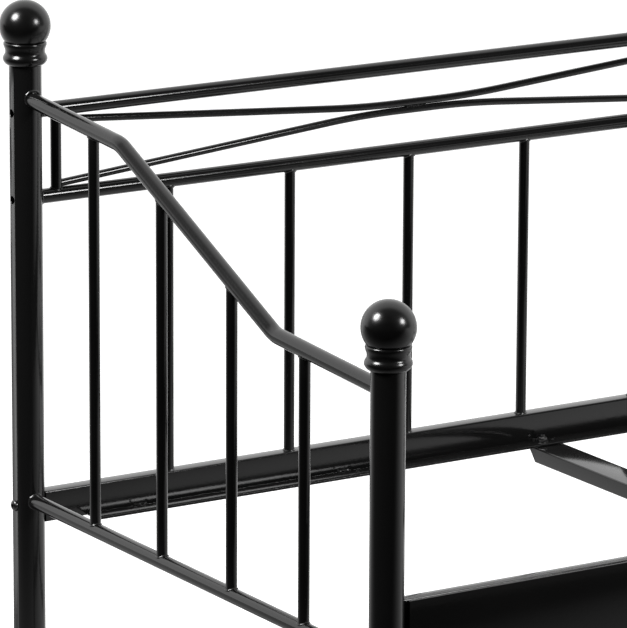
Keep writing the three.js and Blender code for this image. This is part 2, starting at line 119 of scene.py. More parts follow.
class Nodes:
    """A small helper that writes the nodes of one tree."""

    def __init__(self, tree: bpy.types.NodeTree) -> None:
        """Keeps the tree."""
        self.tree = tree

    def node(self, kind: str, **values: object) -> bpy.types.Node:
        """Adds a node.

        Args:
            kind: Node type without the ShaderNode prefix.
            **values: Attributes of the node.

        Returns:
            The new node.
        """
        made = self.tree.nodes.new("ShaderNode" + kind)
        for key, value in values.items():
            setattr(made, key, value)
        return made

    def join(self, source: bpy.types.NodeSocket, target: bpy.types.NodeSocket) -> None:
        """Links two sockets."""
        self.tree.links.new(source, target)

    def fill(self, target: bpy.types.NodeSocket, value: object) -> None:
        """Links an input to a socket, or sets it to a plain value."""
        if isinstance(value, bpy.types.NodeSocket):
            self.join(value, target)
        else:
            target.default_value = value

    def calc(self, operation: str, first: object, second: object) -> bpy.types.NodeSocket:
        """Works out one sum.

        Args:
            operation: Name of the operation.
            first: A number or a socket.
            second: A number or a socket.

        Returns:
            The result.
        """
        made = self.node("Math", operation=operation)
        self.fill(made.inputs[0], first)
        self.fill(made.inputs[1], second)
        return made.outputs[0]

    def remap(self, source: bpy.types.NodeSocket, low: float, high: float,
              start: float = 0.3, end: float = 0.7, kind: str = "LINEAR") -> bpy.types.NodeSocket:
        """Maps a factor to a range.

        Args:
            source: The factor.
            low: Output at start.
            high: Output at end.
            start: Input that gives low.
            end: Input that gives high.
            kind: LINEAR or SMOOTHSTEP.

        Returns:
            The mapped value.
        """
        made = self.node("MapRange", interpolation_type=kind)
        for key, value in (("From Min", start), ("From Max", end), ("To Min", low), ("To Max", high)):
            made.inputs[key].default_value = value
        self.join(source, made.inputs["Value"])
        return made.outputs["Result"]

    def along(self, source: bpy.types.NodeSocket, heading: Vector, start: float, end: float,
              low: float, high: float) -> bpy.types.NodeSocket:
        """A level that changes smoothly along a heading.

        Args:
            source: Place or direction.
            heading: The way it changes.
            start: Reach along the heading where it is low.
            end: Reach where it is high.
            low: Level before start.
            high: Level past end.

        Returns:
            The level.
        """
        dot = self.node("VectorMath", operation="DOT_PRODUCT")
        dot.inputs[1].default_value = heading
        self.join(source, dot.inputs[0])
        return self.remap(dot.outputs["Value"], low, high, start, end, "SMOOTHSTEP")

    def for_camera(self, others: bpy.types.Node, camera: bpy.types.Node) -> bpy.types.Node:
        """Shows one shader to the camera and the other to every other ray."""
        mix = self.node("MixShader")
        self.join(self.node("LightPath").outputs["Is Camera Ray"], mix.inputs[0])
        self.join(others.outputs[0], mix.inputs[1])
        self.join(camera.outputs[0], mix.inputs[2])
        return mix


class Recipe(Nodes):
    """One material's nodes."""

    def __init__(self, name: str) -> None:
        """Starts an empty material with a principled shader.

        Args:
            name: Material name.
        """
        self.material = bpy.data.materials.new(name)
        self.material.use_nodes = True
        super().__init__(self.material.node_tree)
        self.shader = self.tree.nodes["Principled BSDF"]
        self.place = self.node("TexCoord").outputs["Object"]

    def feed(self, name: str, source: bpy.types.NodeSocket) -> None:
        """Links a socket to the shader's input of that name."""
        self.join(source, self.shader.inputs[name])

    def noise(self, scale: float, detail: float = 2.0, stretch: Vector | None = None) -> bpy.types.NodeSocket:
        """Adds noise in object space.

        Args:
            scale: Features per metre.
            detail: Octaves.
            stretch: Scale along each axis, for brushed or drawn surfaces.

        Returns:
            The noise's factor.
        """
        made = self.node("TexNoise")
        made.inputs["Scale"].default_value = scale
        made.inputs["Detail"].default_value = detail
        source = self.place
        if stretch is not None:
            mapping = self.node("Mapping")
            mapping.inputs["Scale"].default_value = stretch
            self.join(source, mapping.inputs["Vector"])
            source = mapping.outputs["Vector"]
        self.join(source, made.inputs["Vector"])
        return made.outputs["Fac"]

    def blend(self, factor: bpy.types.NodeSocket, first: object, second: object) -> bpy.types.NodeSocket:
        """Mixes two colours.

        Args:
            factor: Share of the second colour.
            first: A colour or a socket.
            second: A colour or a socket.

        Returns:
            The mixed colour.
        """
        made = self.node("Mix", data_type="RGBA")
        self.join(factor, made.inputs[0])
        self.fill(made.inputs[6], first)
        self.fill(made.inputs[7], second)
        return made.outputs[2]

    def bump(self, layers: Sequence[tuple[bpy.types.NodeSocket, float, float]]) -> None:
        """Stacks bump layers on the shader's normal.

        Args:
            layers: (height socket, strength, depth in metres) from coarse to fine.
        """
        normal = None
        for height, strength, depth in layers:
            made = self.node("Bump")
            made.inputs["Strength"].default_value = strength
            made.inputs["Distance"].default_value = depth
            self.join(height, made.inputs["Height"])
            if normal is not None:
                self.join(normal, made.inputs["Normal"])
            normal = made.outputs["Normal"]
        self.feed("Normal", normal)

    def wear(self, start: float = 0.52, end: float = 0.60) -> bpy.types.NodeSocket:
        """Finds outer edges.

        Args:
            start: Pointiness where wear begins.
            end: Pointiness where it is full.

        Returns:
            0 on flats, up to 1 on edges.
        """
        geometry = self.node("NewGeometry")
        return self.remap(geometry.outputs["Pointiness"], 0.0, 1.0, start, end)

    def upward(self, start: float = 0.5) -> bpy.types.NodeSocket:
        """Finds faces that look up, where dust settles.

        Args:
            start: Upward share of the normal where dust begins.

        Returns:
            0 on walls, up to 1 on tops.
        """
        geometry = self.node("NewGeometry")
        split = self.node("SeparateXYZ")
        self.join(geometry.outputs["Normal"], split.inputs["Vector"])
        return self.remap(split.outputs["Z"], 0.0, 1.0, start, 1.0)


def grey(level: float, warm: float = 0.0) -> tuple[float, float, float, float]:
    """A near-neutral colour.

    Args:
        level: Linear brightness.
        warm: Shift towards red, negative towards blue.

    Returns:
        The colour.
    """
    return (level * (1 + warm), level, level * (1 - warm), 1.0)


@dataclass(frozen=True)
class PowderCoat:
    """Satin black powder coat baked on steel."""

    name: str = "powder_coat_black"
    slot: str = "powder_coat"
    shade: float = 0.0030
    roughness: float = 0.11
    peel: float = 0.08

    def make(self) -> bpy.types.Material:
        """Builds the material: orange peel, fine grain, faint cloudiness, worn edges, settled dust."""
        recipe = Recipe(self.name)
        cloud = recipe.noise(7.0, 3.0)
        peel = recipe.noise(260.0, 1.0)
        grain = recipe.noise(1500.0, 2.0)
        base = recipe.blend(recipe.remap(cloud, 0.0, 1.0), grey(self.shade * 0.85, -0.02), grey(self.shade * 1.2, 0.02))
        worn = recipe.blend(recipe.wear(), base, grey(self.shade * 2.6))
        dust = recipe.calc("MULTIPLY", recipe.upward(), recipe.remap(grain, 0.0, 0.05))
        recipe.feed("Base Color", recipe.blend(dust, worn, grey(0.10, 0.03)))
        recipe.feed("Roughness", recipe.calc("ADD", recipe.remap(cloud, -0.025, 0.025),
                                             recipe.remap(grain, self.roughness - 0.02, self.roughness + 0.03)))
        recipe.bump([(peel, self.peel, 0.0004), (grain, 0.05, 0.0001)])
        return recipe.material


@dataclass(frozen=True)
class MouldedPlastic:
    """Moulded black plastic, from semi-gloss to matt."""

    name: str
    slot: str
    shade: float = 0.0032
    roughness: float = 0.21
    grain: float = 0.04

    def make(self) -> bpy.types.Material:
        """Builds the material: a fine mould grain, slight flow marks and scuffed ridges."""
        recipe = Recipe(self.name)
        flow = recipe.noise(45.0, 3.0, Vector((1.0, 1.0, 2.5)))
        fine = recipe.noise(1900.0, 2.0)
        base = recipe.blend(recipe.remap(flow, 0.0, 1.0), grey(self.shade * 0.9), grey(self.shade * 1.15, 0.02))
        worn = recipe.blend(recipe.wear(0.53, 0.62), base, grey(self.shade * 2.2))
        recipe.feed("Base Color", worn)
        recipe.feed("Roughness", recipe.remap(flow, self.roughness - 0.02, self.roughness + 0.03))
        recipe.bump([(flow, 0.03, 0.0003), (fine, self.grain, 0.0001)])
        return recipe.material


@dataclass(frozen=True)
class PlatedSteel:
    """Plated steel for fasteners and caster brackets."""

    name: str
    slot: str
    shade: float = 0.5
    roughness: float = 0.34

    def make(self) -> bpy.types.Material:
        """Builds the material: drawn streaks, mottled plating and rubbed edges."""
        recipe = Recipe(self.name)
        mottle = recipe.noise(120.0, 4.0)
        streak = recipe.noise(900.0, 2.0, Vector((1.0, 1.0, 0.06)))
        base = recipe.blend(recipe.remap(mottle, 0.0, 1.0), grey(self.shade * 0.82, -0.01),
                            grey(self.shade * 1.1, 0.02))
        worn = recipe.blend(recipe.wear(), base, grey(min(0.8, self.shade * 1.6)))
        recipe.feed("Base Color", worn)
        recipe.shader.inputs["Metallic"].default_value = 1.0
        recipe.feed("Roughness", recipe.remap(streak, self.roughness - 0.07, self.roughness + 0.08))
        recipe.bump([(mottle, 0.05, 0.0002), (streak, 0.05, 0.0001)])
        return recipe.material


@dataclass(frozen=True)
class WheelRubber:
    """Dark grey tread rubber."""

    name: str = "tread_rubber"
    slot: str = "wheel_rubber"
    shade: float = 0.045
    roughness: float = 0.62

    def make(self) -> bpy.types.Material:
        """Builds the material: scuffs round the tread and a fine matt grain."""
        recipe = Recipe(self.name)
        scuff = recipe.noise(70.0, 5.0, Vector((3.0, 1.0, 1.0)))
        fine = recipe.noise(1300.0, 2.0)
        base = recipe.blend(recipe.remap(scuff, 0.0, 1.0), grey(self.shade * 0.8), grey(self.shade * 1.5, 0.03))
        recipe.feed("Base Color", base)
        recipe.feed("Roughness", recipe.remap(scuff, self.roughness - 0.08, self.roughness + 0.1))
        recipe.bump([(scuff, 0.08, 0.0003), (fine, 0.12, 0.0001)])
        return recipe.material


@dataclass(frozen=True)
class PalePaper:
    """The seamless floor: pale in the view, quiet in the bed's own reflections."""

    name: str = "pale_floor"
    shade: float = 0.75
    glow: float = 0.60
    bounce: float = 1.10
    near: float = -2.1
    far: float = 0.9
    heading: Vector = field(default_factory=lambda: Vector((0.800, 0.600, 0.0)))

    def make(self) -> bpy.types.Material:
        """Builds the material: even pale paper with a faint tooth, lit up behind the bed for its reflections."""
        recipe = Recipe(self.name)
        tooth = recipe.noise(220.0, 3.0)
        pale = recipe.node("BsdfDiffuse")
        recipe.join(recipe.blend(recipe.remap(tooth, 0.0, 1.0), grey(self.shade * 0.985), grey(self.shade)),
                    pale.inputs["Color"])
        glow = recipe.node("Emission")
        glow.inputs["Strength"].default_value = self.glow
        sheet = recipe.node("AddShader")
        recipe.join(pale.outputs[0], sheet.inputs[0])
        recipe.join(glow.outputs[0], sheet.inputs[1])
        bounce = recipe.node("Emission")
        recipe.join(recipe.along(recipe.place, self.heading, self.near, self.far, 0.01, self.bounce),
                    bounce.inputs["Strength"])
        seen = recipe.for_camera(bounce, sheet)
        recipe.join(seen.outputs[0], recipe.tree.nodes["Material Output"].inputs["Surface"])
        recipe.tree.nodes.remove(recipe.shader)
        return recipe.material


class Finishes:
    """Every finish of the bed, made once."""

    def __init__(self) -> None:
        """Builds the materials and keeps each with its slot name."""
        coats = {
            "coat": PowderCoat(),
            "weld": PowderCoat("powder_coat_on_weld", "powder_coat", 0.006, 0.26, 0.02),
            "finial": MouldedPlastic("finial_plastic_black", "finial_plastic"),
            "glide": MouldedPlastic("glide_plastic_black", "glide_plastic", 0.012, 0.5, 0.12),
            "bolt": PlatedSteel("bolt_black_zinc", "zinc_plate", 0.09, 0.32),
            "zinc": PlatedSteel("bracket_zinc", "zinc_plate"),
            "tread": WheelRubber(),
            "core": MouldedPlastic("wheel_core_plastic", "wheel_rubber", 0.16, 0.42, 0.1),
        }
        self.made = {key: (coat.make(), coat.slot) for key, coat in coats.items()}

    def dress(self, piece: bpy.types.Object, key: str) -> None:
        """Gives a piece its finish.

        Args:
            piece: The object.
            key: Finish name.
        """
        material, slot = self.made[key]
        piece.data.materials.clear()
        piece.data.materials.append(material)


# ---------------------------------------------------------------------------
# mesh building
# ---------------------------------------------------------------------------


def turned_frames(path: Sequence[Vector], loop: bool) -> list[tuple[Vector, Vector]]:
    """Carries a cross-section along a path without twist.

    Args:
        path: Points of the path.
        loop: True where the path closes on itself.

    Returns:
        Two unit vectors across the path at each point.
    """
    count = len(path)
    tangents = []
    for i in range(count):
        before = path[i - 1] if loop or i > 0 else path[i]
        after = path[(i + 1) % count] if loop or i < count - 1 else path[i]
        tangents.append((after - before).normalized())
    across = tangents[0].orthogonal().normalized()
    frames = []
    for i, tangent in enumerate(tangents):
        if i:
            across = tangents[i - 1].rotation_difference(tangent) @ across
        across = (across - tangent * across.dot(tangent)).normalized()
        frames.append((across, tangent.cross(across)))
    return frames


def rounded_loop(width: float, height: float, corner: float, steps: int = 4) -> list[tuple[float, float]]:
    """Outline of a rectangle with rounded corners, centred on the origin.

    Args:
        width: Full width.
        height: Full height.
        corner: Corner radius.
        steps: Segments in each corner.

    Returns:
        Points anticlockwise.
    """
    points = []
    for quarter, (sx, sy) in enumerate(((1, 1), (-1, 1), (-1, -1), (1, -1))):
        cx, cy = sx * (width / 2 - corner), sy * (height / 2 - corner)
        for k in range(steps + 1):
            angle = (quarter + k / steps) * math.pi / 2
            points.append((cx + corner * math.cos(angle), cy + corner * math.sin(angle)))
    return points


class Shell:
    """Points and faces of one piece before it becomes an object."""

    def __init__(self) -> None:
        """Starts with nothing."""
        self.points: list[Vector] = []
        self.faces: list[tuple[int, ...]] = []

    def ring(self, points: Iterable[Vector]) -> list[int]:
        """Adds points and returns their numbers."""
        start = len(self.points)
        self.points.extend(Vector(p) for p in points)
        return list(range(start, len(self.points)))

    def bridge(self, first: Sequence[int], second: Sequence[int]) -> None:
        """Joins two rings with quads, or a ring and a pole with triangles.

        Args:
            first: Numbers of one ring, or of one point.
            second: Numbers of the next.
        """
        count = max(len(first), len(second))
        for i in range(count):
            j = (i + 1) % count
            if len(first) == 1:
                self.faces.append((first[0], second[j], second[i]))
            elif len(second) == 1:
                self.faces.append((first[i], first[j], second[0]))
            else:
                self.faces.append((first[i], first[j], second[j], second[i]))

    def loft(self, rings: Sequence[Sequence[Vector]], loop: bool = False, caps: bool = True) -> None:
        """Skins a row of rings.

        Args:
            rings: Rings of equal length, or single points at the ends.
            loop: True to join the last ring to the first.
            caps: True to close open ends.
        """
        numbers = [self.ring(r) for r in rings]
        for first, second in zip(numbers, numbers[1:]):
            self.bridge(first, second)
        if loop:
            self.bridge(numbers[-1], numbers[0])
        elif caps:
            for end in (numbers[0], numbers[-1]):
                if len(end) > 2:
                    self.faces.append(tuple(end))

    @staticmethod
    def circle(centre: Vector, across: Vector, over: Vector, radius: float, sides: int) -> list[Vector]:
        """Points round a centre, in the plane of two unit vectors."""
        angles = [2 * math.pi * k / sides for k in range(sides)]
        return [centre + (across * math.cos(a) + over * math.sin(a)) * radius for a in angles]

    def sweep(self, path: Sequence[Vector], radius: float | Sequence[float], sides: int = 28,
              loop: bool = False) -> None:
        """Sweeps a circle along a path.

        Args:
            path: Points of the centre line.
            radius: One radius, or one for each point.
            sides: Sides of the circle.
            loop: True where the path closes on itself.
        """
        radii = [radius] * len(path) if isinstance(radius, float) else list(radius)
        self.loft([self.circle(point, across, over, size, sides)
                   for point, size, (across, over) in zip(path, radii, turned_frames(path, loop))], loop)

    def turn(self, profile: Sequence[tuple[float, float]], origin: Vector, axis: Vector, sides: int = 64,
             closed: bool = False) -> None:
        """Turns a profile round an axis.

        Args:
            profile: (radius, height) pairs.
            origin: Point of height zero.
            axis: Unit direction of the axis.
            sides: Sides of the turning.
            closed: True where the profile closes on itself off the axis.
        """
        across = axis.orthogonal().normalized()
        over = axis.cross(across)
        rings = []
        for radius, height in profile:
            centre = origin + axis * height
            rings.append([centre] if radius < 1e-7 else self.circle(centre, across, over, radius, sides))
        self.loft(rings, closed, not closed)

    def pipe(self, start: Vector, end: Vector, radius: float, wall: float, sides: int = 64) -> None:
        """Adds a straight round tube with a wall and chamfered rims.

        Args:
            start: Centre of one end.
            end: Centre of the other.
            radius: Outer radius.
            wall: Wall thickness.
            sides: Sides of the tube.
        """
        axis = (end - start).normalized()
        length = (end - start).length
        ease = wall * 0.25
        inner = radius - wall
        profile = [(inner, 0.0), (radius - ease, 0.0), (radius, ease), (radius, length - ease),
                   (radius - ease, length), (inner, length)]
        self.turn(profile, start, axis, sides, True)

    def box_tube(self, axis: int, lo: Vector, hi: Vector, wall: float, corner: float, slant: float = 0.0) -> None:
        """Adds a hollow rectangular tube.

        Args:
            axis: 0 along X, 1 along Y.
            lo: Lowest corner.
            hi: Highest corner.
            wall: Wall thickness.
            corner: Outer corner radius.
            slant: How far the underside is cut back at each end.
        """
        across = 1 - axis
        width, height = hi[across] - lo[across], hi.z - lo.z
        centre = (lo + hi) / 2
        outer = rounded_loop(width, height, corner)
        inner = rounded_loop(width - 2 * wall, height - 2 * wall, max(corner - wall, wall * 0.3))
        rings = []
        for outline, ends in ((outer, (lo, hi)), (inner, (hi, lo))):
            for end in ends:
                inward = 1 if end is lo else -1
                ring = []
                for u, v in outline:
                    point = Vector((0.0, 0.0, centre.z + v))
                    point[across] = centre[across] + u
                    point[axis] = end[axis] + inward * slant * min(1.0, max(0.0, (0.5 - v / height) * 1.35))
                    ring.append(point)
                rings.append(ring)
        self.loft(rings, True)

    def bar(self, lo: Vector, hi: Vector, edge: float, steps: int = 2) -> None:
        """Adds a bar with eased edges.

        Args:
            lo: Lowest corner.
            hi: Highest corner.
            edge: Edge radius.
            steps: Segments across each edge.
        """
        form = bmesh.new()
        bmesh.ops.create_cube(form, size=1.0)
        for vert in form.verts:
            vert.co = Vector(lo[i] if vert.co[i] < 0 else hi[i] for i in range(3))
        bmesh.ops.bevel(form, geom=list(form.edges), offset=edge, segments=steps, profile=0.5, affect="EDGES")
        self.take(form)

    def ledge(self, reach: float, face: float, far: float, bottom: float) -> None:
        """Adds a flat ledge strip along X.

        Args:
            reach: Half its length.
            face: Y of one long edge.
            far: Y of the other.
            bottom: Its underside.
        """
        self.bar(Vector((-reach, min(face, far), bottom)),
                 Vector((reach, max(face, far), bottom + LEDGE_THICK)), 0.0007)

    def plate(self, outline: Sequence[Vector], depth: Vector, edge: float) -> None:
        """Adds a flat plate with eased edges.

        Args:
            outline: Corner points in order.
            depth: Thickness as a vector.
            edge: Edge radius.
        """
        form = bmesh.new()
        face = form.faces.new([form.verts.new(p) for p in outline])
        made = bmesh.ops.extrude_face_region(form, geom=[face])
        bmesh.ops.translate(form, vec=depth, verts=[v for v in made["geom"] if isinstance(v, bmesh.types.BMVert)])
        bmesh.ops.bevel(form, geom=list(form.edges), offset=edge, segments=2, profile=0.5, affect="EDGES")
        self.take(form)

    def take(self, form: bmesh.types.BMesh) -> None:
        """Copies a bmesh in and frees it."""
        form.verts.index_update()
        start = len(self.points)
        self.points.extend(v.co.copy() for v in form.verts)
        self.faces.extend(tuple(start + v.index for v in f.verts) for f in form.faces)
        form.free()

    def object(self, name: str, crease: float = 38.0) -> bpy.types.Object:
        """Makes the object, smooth except across sharp edges.

        Args:
            name: Object and mesh name.
            crease: Edges sharper than this many degrees stay hard.

        Returns:
            The linked object.
        """
        mesh = bpy.data.meshes.new(name)
        mesh.from_pydata([tuple(p) for p in self.points], [], self.faces)
        form = bmesh.new()
        form.from_mesh(mesh)
        bmesh.ops.recalc_face_normals(form, faces=form.faces)
        form.to_mesh(mesh)
        form.free()
        for face in mesh.polygons:
            face.use_smooth = True
        mesh.set_sharp_from_angle(angle=math.radians(crease))
        made = bpy.data.objects.new(name, mesh)
        bpy.context.scene.collection.objects.link(made)
        return made


def pierce(piece: bpy.types.Object, start: Vector, axis: Vector, radius: float, depth: float) -> None:
    """Drills a round hole.

    Args:
        piece: The object to drill.
        start: Where the drill starts.
        axis: Drilling direction.
        radius: Hole radius.
        depth: Drilling depth.
    """
    cutter = Shell()
    cutter.turn([(0.0, 0.0), (radius, 0.0), (radius, depth), (0.0, depth)], start, axis, 32)
    drill = cutter.object("drill")
    modifier = piece.modifiers.new("hole", "BOOLEAN")
    modifier.operation = "DIFFERENCE"
    modifier.solver = "EXACT"
    modifier.object = drill
    graph = bpy.context.evaluated_depsgraph_get()
    done = bpy.data.meshes.new_from_object(piece.evaluated_get(graph))
    piece.modifiers.clear()
    piece.data = done
    bpy.data.objects.remove(drill)


def rounded_path(corners: Sequence[Vector], radius: float, steps: int = 12) -> list[Vector]:
    """Rounds the inner corners of a bent tube's centre line.

    Args:
        corners: Ends and corner points.
        radius: Bend radius.
        steps: Segments in each bend.

    Returns:
        Points of the centre line.
    """
    path = [corners[0]]
    for before, here, after in zip(corners, corners[1:], corners[2:]):
        back = (before - here).normalized()
        ahead = (after - here).normalized()
        turn = math.pi - back.angle(ahead)
        reach = radius * math.tan(turn / 2)
        centre = here + (back + ahead).normalized() * (radius / math.cos(turn / 2))
        start, end = here + back * reach - centre, here + ahead * reach - centre
        for k in range(steps + 1):
            share = turn * k / steps
            path.append(centre + (start * math.sin(turn - share) + end * math.sin(share)) / math.sin(turn))
    path.append(corners[-1])
    return path


def even_path(path: Sequence[Vector], pitch: float) -> list[Vector]:
    """Adds points on long straight runs so that shading stays even.

    Args:
        path: The path.
        pitch: Longest step.

    Returns:
        The path with added points.
    """
    points = [path[0]]
    for before, after in zip(path, path[1:]):
        steps = max(1, math.ceil((after - before).length / pitch))
        points += [before.lerp(after, k / steps) for k in range(1, steps + 1)]
    return points


def saddle(host: Vector, away: Vector, along: Vector, host_radius: float, tube_radius: float,
           count: int = 26) -> list[Vector]:
    """The seam where a round tube meets a round host, or a flat one of radius zero.

    Args:
        host: Point on the host's axis, or on its flat face.
        away: Unit direction of the tube.
        along: Unit direction of the host's axis.
        host_radius: Radius of the host, zero for a flat face.
        tube_radius: Radius of the tube.
        count: Points in the seam.

    Returns:
        A closed row of points.
    """
    side = along.cross(away)
    seam = []
    for k in range(count):
        angle = 2 * math.pi * k / count
        across, up = tube_radius * math.cos(angle), tube_radius * math.sin(angle)
        depth = math.sqrt(host_radius ** 2 - across ** 2) if host_radius else 0.0
        seam.append(host + away * depth + side * across + along * up)
    return seam


@dataclass
class WeldBeads:
    """All weld beads of one sub-assembly, laid as rippled cords."""

    radius: float = 0.0013
    ripple: float = 0.22
    seed: int = 7
    shell: Shell = field(default_factory=Shell)

    def __post_init__(self) -> None:
        """Seeds the ripple."""
        self.chance = random.Random(self.seed)

    def seam(self, path: Sequence[Vector], scale: float = 1.0) -> None:
        """Lays a bead right round a joint.

        Args:
            path: Closed row of points.
            scale: Size against the usual bead.
        """
        size = self.radius * scale
        radii = [size * (1 + self.ripple * self.chance.uniform(-1, 1)) for _ in path]
        self.shell.sweep(path, radii, 8, True)

    def round_post(self, hub: Vector, away: Vector, post: float, radius: float) -> None:
        """Lays the bead where a tube meets an upright post."""
        self.seam(saddle(hub, away, Z_AXIS, post, radius, 34), 1.1)

    def lump(self, centre: Vector, size: Vector) -> None:
        """Lays one short weld lump.

        Args:
            centre: Its middle.
            size: Half sizes along X, Y and Z.
        """
        form = bmesh.new()
        bmesh.ops.create_icosphere(form, subdivisions=2, radius=1.0)
        for vert in form.verts:
            push = 1 + self.ripple * self.chance.uniform(-1, 1)
            vert.co = centre + Vector(vert.co[i] * size[i] * push for i in range(3))
        self.shell.take(form)

    def stitch(self, start: Vector, along: Vector, length: float, size: float) -> None:
        """Lays a short row of overlapping lumps.

        Args:
            start: First lump.
            along: Direction of the row.
            length: Length of the row.
            size: Lump radius.
        """
        count = max(2, int(length / (size * 1.3)))
        for k in range(count):
            self.lump(start + along * (length * k / (count - 1)), Vector((size, size, size * 0.8)))


# ---------------------------------------------------------------------------
# sub-assemblies
# ---------------------------------------------------------------------------


class Assembly:
    """A group of pieces that ride on one body."""

    body: str = Body.DAYBED.value

    def __init__(self, finishes: Finishes) -> None:
        """Keeps the finishes.

        Args:
            finishes: Every finish of the bed.
        """
        self.finishes = finishes

    def add(self, shell: Shell | bpy.types.Object, name: str, finish: str,
            stands_for: Sequence[str] = ()) -> bpy.types.Object:
        """Turns a shell into a dressed piece on this body.

        Args:
            shell: The shell, or an object made from one.
            name: Piece name.
            finish: Finish name.
            stands_for: Frame nodes that the piece replaces.

        Returns:
            The piece.
        """
        piece = shell.object(name) if isinstance(shell, Shell) else shell
        self.finishes.dress(piece, finish)
        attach(piece, self.body)
        if stands_for:
            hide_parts(*stands_for)
        log.info("%s on %s", name, self.body)
        return piece

    def straight(self, name: str, node: str, ends: Sequence[Vector], radius: float, sides: int = 32,
                 pitch: float = 0.03) -> None:
        """Builds and dresses one straight round bar or tube.

        Args:
            name: Piece name.
            node: Frame node that it replaces.
            ends: Centres of its two ends.
            radius: Its radius.
            sides: Sides of the circle.
            pitch: Longest step along it.
        """
        shell = Shell()
        shell.sweep(even_path(ends, pitch), radius, sides)
        self.add(shell, name, "coat", [node])


@dataclass
class PostPlan:
    """Sizes of a post and its fittings."""

    wall: float = 0.0015
    hole_radius: float = 0.005
    bolt_radius: float = 0.0066
    bolt_height: float = 0.0036
    socket_radius: float = 0.0026
    ball_rise: float = 0.0460
    crease: float = 0.0274
    spigot: float = 0.025


class Post(Assembly):
    """One post with its finial, foot glide, access holes and rail bolts."""

    def __init__(self, finishes: Finishes, depth: str, side: str, plan: PostPlan) -> None:
        """Reads the post's place.

        Args:
            finishes: Every finish of the bed.
            depth: front or back.
            side: left or right.
            plan: Sizes.
        """
        super().__init__(finishes)
        self.plan = plan
        self.depth = depth
        self.side = side
        self.tag = f"{depth}_{side}"
        self.place = span(f"post_{self.tag}")
        self.radius = self.place.size.x / 2
        self.out = Vector((-1.0 if side == "left" else 1.0, 0.0, 0.0))

    def build(self) -> None:
        """Builds and dresses every piece of the post."""
        self.tube()
        self.finial()
        self.glide()
        self.bolts()

    def at(self, z: float) -> Vector:
        """Point on the post's axis."""
        return Vector((self.place.mid.x, self.place.mid.y, z))

    def tube(self) -> None:
        """The round post, drilled where a back post takes the rails."""
        shell = Shell()
        shell.pipe(self.at(self.place.lo.z), self.at(self.place.hi.z), self.radius, self.plan.wall, 72)
        piece = shell.object(f"post_tube_{self.tag}")
        if self.depth == "back":
            for rail in ("back_top_rail", "back_mid_rail"):
                start = self.at(span(rail).mid.z) + self.out * (self.radius * 0.5)
                pierce(piece, start, self.out, self.plan.hole_radius, self.radius)
        self.add(piece, piece.name, "coat", [f"post_{self.tag}"])

    def finial(self) -> None:
        """The turned ball with two rings and a cove, on its spigot."""
        place = span(f"finial_{self.tag}")
        ball = place.size.x / 2
        post = self.radius
        bore = post - self.plan.wall - GAP
        steps_out = ((0.0010, GAP), (0.0020, 0.0006), (0.0034, 0.0013), (0.0049, 0.0027), (0.0060, 0.0044),
                     (0.0067, 0.0060), (0.0069, 0.0076), (0.0067, 0.0092), (0.0062, 0.0107), (0.0054, 0.0120),
                     (0.0047, 0.0130), (0.0043, 0.0141), (0.0041, 0.0156), (0.0042, 0.0173), (0.0045, 0.0190),
                     (0.0051, 0.0208), (0.0058, 0.0226), (0.0062, 0.0243), (0.0062, 0.0257), (0.0057, 0.0268),
                     (0.0048, self.plan.crease))
        collar = [(0.0, -self.plan.spigot), (bore, -self.plan.spigot), (bore, GAP)]
        collar += [(post + out, height) for out, height in steps_out]
        first = math.acos((self.plan.crease - self.plan.ball_rise) / ball) * 0.995
        steps = 40
        angles = [first * (1 - k / steps) for k in range(1, steps)]
        dome = [(ball * math.sin(a), self.plan.ball_rise + ball * math.cos(a)) for a in angles]
        neck = [(ball * math.sin(first) - 0.0008, self.plan.crease + 0.0002)]
        top = [(0.0, self.plan.ball_rise + ball)]
        shell = Shell()
        shell.turn(collar + neck + dome + top, self.at(self.place.hi.z), Z_AXIS, 80)
        self.add(shell, f"finial_ball_{self.tag}", "finial", [f"finial_{self.tag}"])

    def glide(self) -> None:
        """The moulded foot in the post's lower end."""
        place = span(f"foot_glide_{self.tag}")
        rim = place.size.x / 2
        bore = self.radius - self.plan.wall - GAP
        height = self.place.lo.z - GAP
        profile = [(0.0, 0.0), (rim - 0.003, 0.0), (rim - 0.0012, 0.0006), (rim - 0.0003, 0.0020), (rim, 0.0035),
                   (rim, height - 0.0008), (rim - 0.0005, height), (bore, height),
                   (bore, place.hi.z), (0.0, place.hi.z)]
        shell = Shell()
        shell.turn(profile, self.at(0.0), Z_AXIS, 64)
        for k in range(10):
            angle = 2 * math.pi * k / 10
            mid = self.at(height + 0.4 * (place.hi.z - height)) + Vector((math.cos(angle), math.sin(angle), 0)) * bore
            shell.bar(mid - Vector((0.0002, 0.0002, 0.004)), mid + Vector((0.0002, 0.0002, 0.004)), 0.00005)
        self.add(shell, f"glide_foot_{self.tag}", "glide", [f"foot_glide_{self.tag}"])

    def bolts(self) -> None:
        """Button-head bolts that hold the long rail from outside the post."""
        rail = span("back_rail" if self.depth == "back" else "front_rail")
        levels = [rail.hi.z - 0.014] if self.depth == "back" else [rail.hi.z - 0.036, rail.lo.z + 0.026]
        shell = Shell()
        plan = self.plan
        for z in levels:
            seat = self.at(z) + self.out * (self.radius - 0.0004)
            dome = [(plan.bolt_radius * math.cos(a), 0.0006 + plan.bolt_height * math.sin(a))
                    for a in [math.radians(d) for d in range(0, 66, 8)]]
            mouth = [(plan.socket_radius, 0.0006 + plan.bolt_height * 0.93), (plan.socket_radius, 0.0015),
                     (0.0, 0.0013)]
            shell.turn([(0.0, -0.004), (0.003, -0.004), (0.003, 0.0), (plan.bolt_radius, 0.0)] + dome + mouth,
                       seat, self.out, 36)
        self.add(shell, f"rail_bolts_{self.tag}", "bolt")


